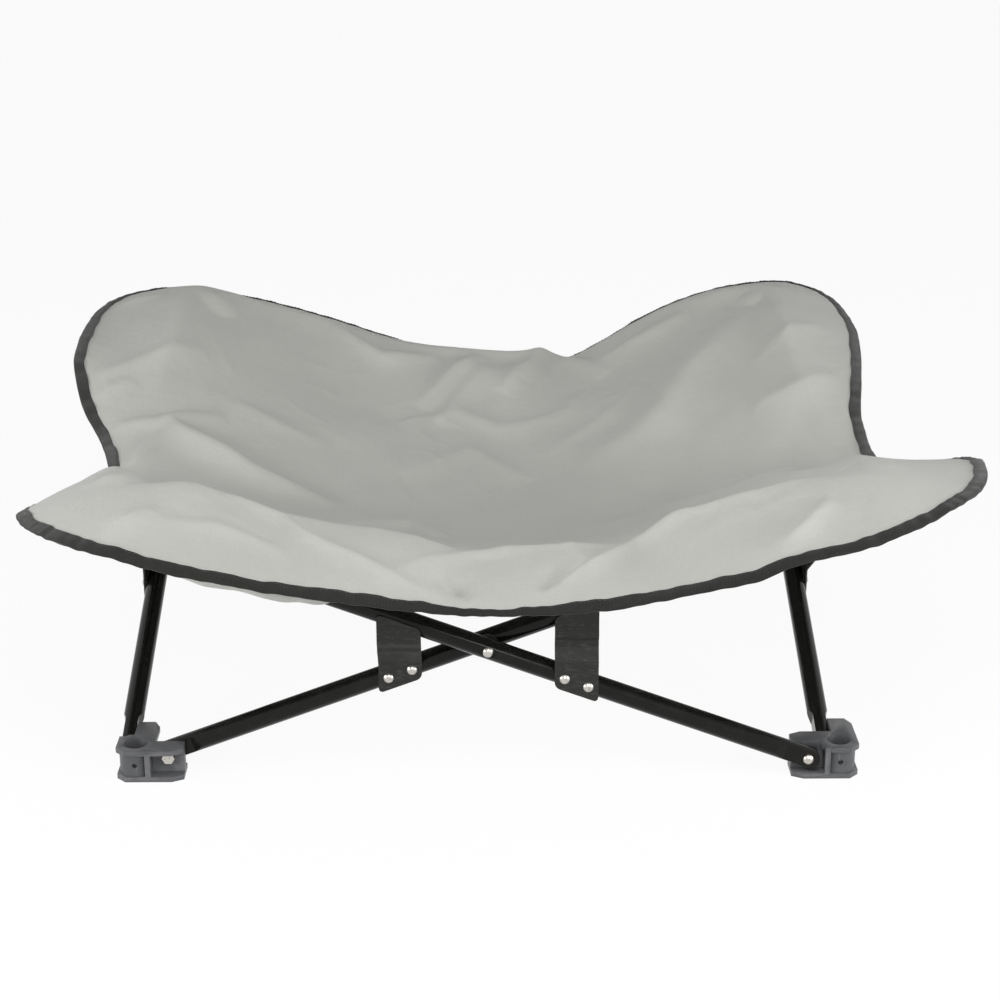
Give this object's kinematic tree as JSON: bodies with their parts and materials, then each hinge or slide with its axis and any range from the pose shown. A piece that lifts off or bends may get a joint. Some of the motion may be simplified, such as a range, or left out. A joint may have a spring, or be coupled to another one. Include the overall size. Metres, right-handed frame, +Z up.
{
  "type": "raised dog cot",
  "caption": "Low folding pet cot: a sagging cloth sling with rounded corner lobes and bound edges, hung on corner pegs of a scissor frame of round tubes with plastic feet.",
  "frame": {"origin": "on the floor under the middle of the frame, between the four feet", "axes": "+Z up; -Y is the front side that the picture shows; +X to the right of that view"},
  "size_m": [0.7566, 0.7393, 0.2495],
  "materials": {
    "cloth": "light grey plain-weave canvas",
    "pocket": "light grey plain-weave canvas",
    "binding": "charcoal ribbed woven tape",
    "tube": "gloss black powder coat",
    "bracket": "dark grey moulded plastic, satin",
    "peg": "black moulded plastic, satin",
    "flap": "black embossed sheet",
    "rivet": "nickel plated",
    "washer": "natural nylon"
  },
  "bodies": {
    "foot_front_left": {"foot_front_left": "bracket", "foot_pins_front_left": "rivet"},
    "top_front_left": {"top_bracket_front_left": "bracket", "top_pins_front_left": "rivet", "peg_front_left": "peg", "peg_screws_front_left": "rivet", "sling_sheet": "cloth", "edge_binding": "binding", "corner_pockets": "pocket"},
    "foot_front_right": {"foot_front_right": "bracket", "foot_pins_front_right": "rivet"},
    "top_front_right": {"top_bracket_front_right": "bracket", "top_pins_front_right": "rivet", "peg_front_right": "peg", "peg_screws_front_right": "rivet"},
    "foot_back_right": {"foot_back_right": "bracket", "foot_pins_back_right": "rivet"},
    "top_back_right": {"top_bracket_back_right": "bracket", "top_pins_back_right": "rivet", "peg_back_right": "peg", "peg_screws_back_right": "rivet"},
    "foot_back_left": {"foot_back_left": "bracket", "foot_pins_back_left": "rivet"},
    "top_back_left": {"top_bracket_back_left": "bracket", "top_pins_back_left": "rivet", "peg_back_left": "peg", "peg_screws_back_left": "rivet"},
    "outer_front": {"tube_outer_front": "tube", "flap_outer_front": "flap", "flap_rivets_outer_front": "rivet", "pivot_rivet_front": "rivet", "pivot_washer_front": "washer"},
    "inner_front": {"tube_inner_front": "tube", "flap_inner_front": "flap", "flap_rivets_inner_front": "rivet"},
    "outer_right": {"tube_outer_right": "tube", "flap_outer_right": "flap", "flap_rivets_outer_right": "rivet", "pivot_rivet_right": "rivet", "pivot_washer_right": "washer"},
    "inner_right": {"tube_inner_right": "tube", "flap_inner_right": "flap", "flap_rivets_inner_right": "rivet"},
    "outer_back": {"tube_outer_back": "tube", "flap_outer_back": "flap", "flap_rivets_outer_back": "rivet", "pivot_rivet_back": "rivet", "pivot_washer_back": "washer"},
    "inner_back": {"tube_inner_back": "tube", "flap_inner_back": "flap", "flap_rivets_inner_back": "rivet"},
    "outer_left": {"tube_outer_left": "tube", "flap_outer_left": "flap", "flap_rivets_outer_left": "rivet", "pivot_rivet_left": "rivet", "pivot_washer_left": "washer"},
    "inner_left": {"tube_inner_left": "tube", "flap_inner_left": "flap", "flap_rivets_inner_left": "rivet"}
  },
  "joints": [
    {"name": "fold", "type": "hinge", "parent": "foot_front_left", "child": "inner_front", "pos_m": [-0.245, -0.261, 0.016], "axis": [0, -1, 0], "range_deg": [0, 63], "deforming": ["sling_sheet", "edge_binding", "corner_pockets"]},
    {"name": "front_scissor", "type": "hinge", "parent": "inner_front", "child": "outer_front", "pos_m": [0, -0.27, 0.108], "axis": [0, -1, 0], "range_deg": [-126, 0]},
    {"name": "front_right_foot_hinge", "type": "hinge", "parent": "outer_front", "child": "foot_front_right", "pos_m": [0.245, -0.279, 0.016], "axis": [0, -1, 0], "range_deg": [0, 63]},
    {"name": "front_right_top_hinge", "type": "hinge", "parent": "inner_front", "child": "top_front_right", "pos_m": [0.245, -0.261, 0.2], "axis": [0, -1, 0], "range_deg": [-63, 0]},
    {"name": "front_left_top_hinge", "type": "hinge", "parent": "outer_front", "child": "top_front_left", "pos_m": [-0.245, -0.279, 0.2], "axis": [0, -1, 0], "range_deg": [0, 63]},
    {"name": "left_foot_hinge", "type": "hinge", "parent": "foot_front_left", "child": "outer_left", "pos_m": [-0.279, -0.245, 0.016], "axis": [1, 0, 0], "range_deg": [0, 63]},
    {"name": "left_scissor", "type": "hinge", "parent": "outer_left", "child": "inner_left", "pos_m": [-0.27, 0, 0.108], "axis": [1, 0, 0], "range_deg": [-126, 0]},
    {"name": "back_left_foot_hinge", "type": "hinge", "parent": "inner_left", "child": "foot_back_left", "pos_m": [-0.261, 0.245, 0.016], "axis": [1, 0, 0], "range_deg": [0, 63]},
    {"name": "back_left_top_hinge", "type": "hinge", "parent": "outer_left", "child": "top_back_left", "pos_m": [-0.279, 0.245, 0.2], "axis": [1, 0, 0], "range_deg": [-63, 0]},
    {"name": "right_foot_hinge", "type": "hinge", "parent": "foot_front_right", "child": "inner_right", "pos_m": [0.261, -0.245, 0.016], "axis": [1, 0, 0], "range_deg": [0, 63]},
    {"name": "right_scissor", "type": "hinge", "parent": "inner_right", "child": "outer_right", "pos_m": [0.27, 0, 0.108], "axis": [1, 0, 0], "range_deg": [-126, 0]},
    {"name": "back_right_foot_hinge", "type": "hinge", "parent": "outer_right", "child": "foot_back_right", "pos_m": [0.279, 0.245, 0.016], "axis": [1, 0, 0], "range_deg": [0, 63]},
    {"name": "back_right_top_hinge", "type": "hinge", "parent": "inner_right", "child": "top_back_right", "pos_m": [0.261, 0.245, 0.2], "axis": [1, 0, 0], "range_deg": [-63, 0]},
    {"name": "back_foot_hinge", "type": "hinge", "parent": "foot_back_left", "child": "outer_back", "pos_m": [-0.245, 0.279, 0.016], "axis": [0, -1, 0], "range_deg": [0, 63]},
    {"name": "back_scissor", "type": "hinge", "parent": "outer_back", "child": "inner_back", "pos_m": [0, 0.27, 0.108], "axis": [0, -1, 0], "range_deg": [-126, 0]}
  ],
  "couplings": [
    {"joint": "front_scissor", "follows": "fold", "ratio": -2},
    {"joint": "front_right_foot_hinge", "follows": "fold", "ratio": 1},
    {"joint": "front_right_top_hinge", "follows": "fold", "ratio": -1},
    {"joint": "front_left_top_hinge", "follows": "fold", "ratio": 1},
    {"joint": "left_foot_hinge", "follows": "fold", "ratio": 1},
    {"joint": "left_scissor", "follows": "fold", "ratio": -2},
    {"joint": "back_left_foot_hinge", "follows": "fold", "ratio": 1},
    {"joint": "back_left_top_hinge", "follows": "fold", "ratio": -1},
    {"joint": "right_foot_hinge", "follows": "fold", "ratio": 1},
    {"joint": "right_scissor", "follows": "fold", "ratio": -2},
    {"joint": "back_right_foot_hinge", "follows": "fold", "ratio": 1},
    {"joint": "back_right_top_hinge", "follows": "fold", "ratio": -1},
    {"joint": "back_foot_hinge", "follows": "fold", "ratio": 1},
    {"joint": "back_scissor", "follows": "fold", "ratio": -2}
  ]
}
